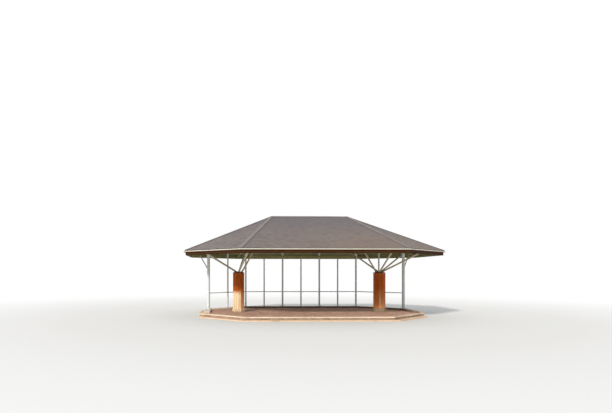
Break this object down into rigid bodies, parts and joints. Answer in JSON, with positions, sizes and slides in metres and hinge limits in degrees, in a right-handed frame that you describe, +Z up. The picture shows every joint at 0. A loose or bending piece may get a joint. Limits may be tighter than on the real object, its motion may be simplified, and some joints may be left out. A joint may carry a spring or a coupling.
{
  "type": "bandstand",
  "caption": "Open park bandstand with an elongated octagonal hipped slate roof on octagonal timber-clad piers with branching struts, steel posts, a low screen and a stepped platform",
  "frame": {"origin": "on the ground at the middle of the plan, which is the bottom centre of the bounding box", "axes": "+X along the length, +Y to the screened back, -Y to the open front, +Z up"},
  "size_m": [15.04, 10.8, 6.086],
  "materials": {
    "concrete": "cast, weathered",
    "step_stone": "sawn, weathered",
    "paving": "matt, worn",
    "painted_steel": "satin paint",
    "strut_steel": "satin paint",
    "cap_steel": "matt paint",
    "plinth_stone": "rubbed",
    "cladding": "oiled boards",
    "frame_timber": "painted timber",
    "fascia_timber": "stained",
    "gutter_paint": "satin paint",
    "slate": "riven, matt",
    "ridge_slate": "matt"
  },
  "bodies": {
    "root": {"floor_slab": "concrete", "lower_step_stones": "step_stone", "upper_step_stones": "step_stone", "floor_paving": "paving", "kerb": "step_stone", "post_side_left": "painted_steel", "post_back_1": "painted_steel", "post_back_2": "painted_steel", "post_back_3": "painted_steel", "post_back_4": "painted_steel", "post_side_right": "painted_steel", "post_foot_plates": "painted_steel", "mullions": "painted_steel", "rail_left": "painted_steel", "rail_back": "painted_steel", "rail_right": "painted_steel", "side_struts": "strut_steel", "pier_plinth_left": "plinth_stone", "pier_plinth_right": "plinth_stone", "pier_left": "cladding", "pier_right": "cladding", "pier_cap_left": "cap_steel", "pier_cap_right": "cap_steel", "pier_struts_left": "strut_steel", "pier_struts_right": "strut_steel", "fascia": "fascia_timber", "gutter": "gutter_paint", "roof_front": "slate", "roof_back": "slate", "roof_end_left": "slate", "roof_end_right": "slate", "roof_corner_front_left": "slate", "roof_corner_front_right": "slate", "roof_corner_back_left": "slate", "roof_corner_back_right": "slate", "ridge_cap": "ridge_slate", "hip_caps": "ridge_slate", "post_beams": "frame_timber", "hip_rafters": "frame_timber", "ridge_beam": "frame_timber", "ridge_bosses": "frame_timber"}
  },
  "joints": []
}
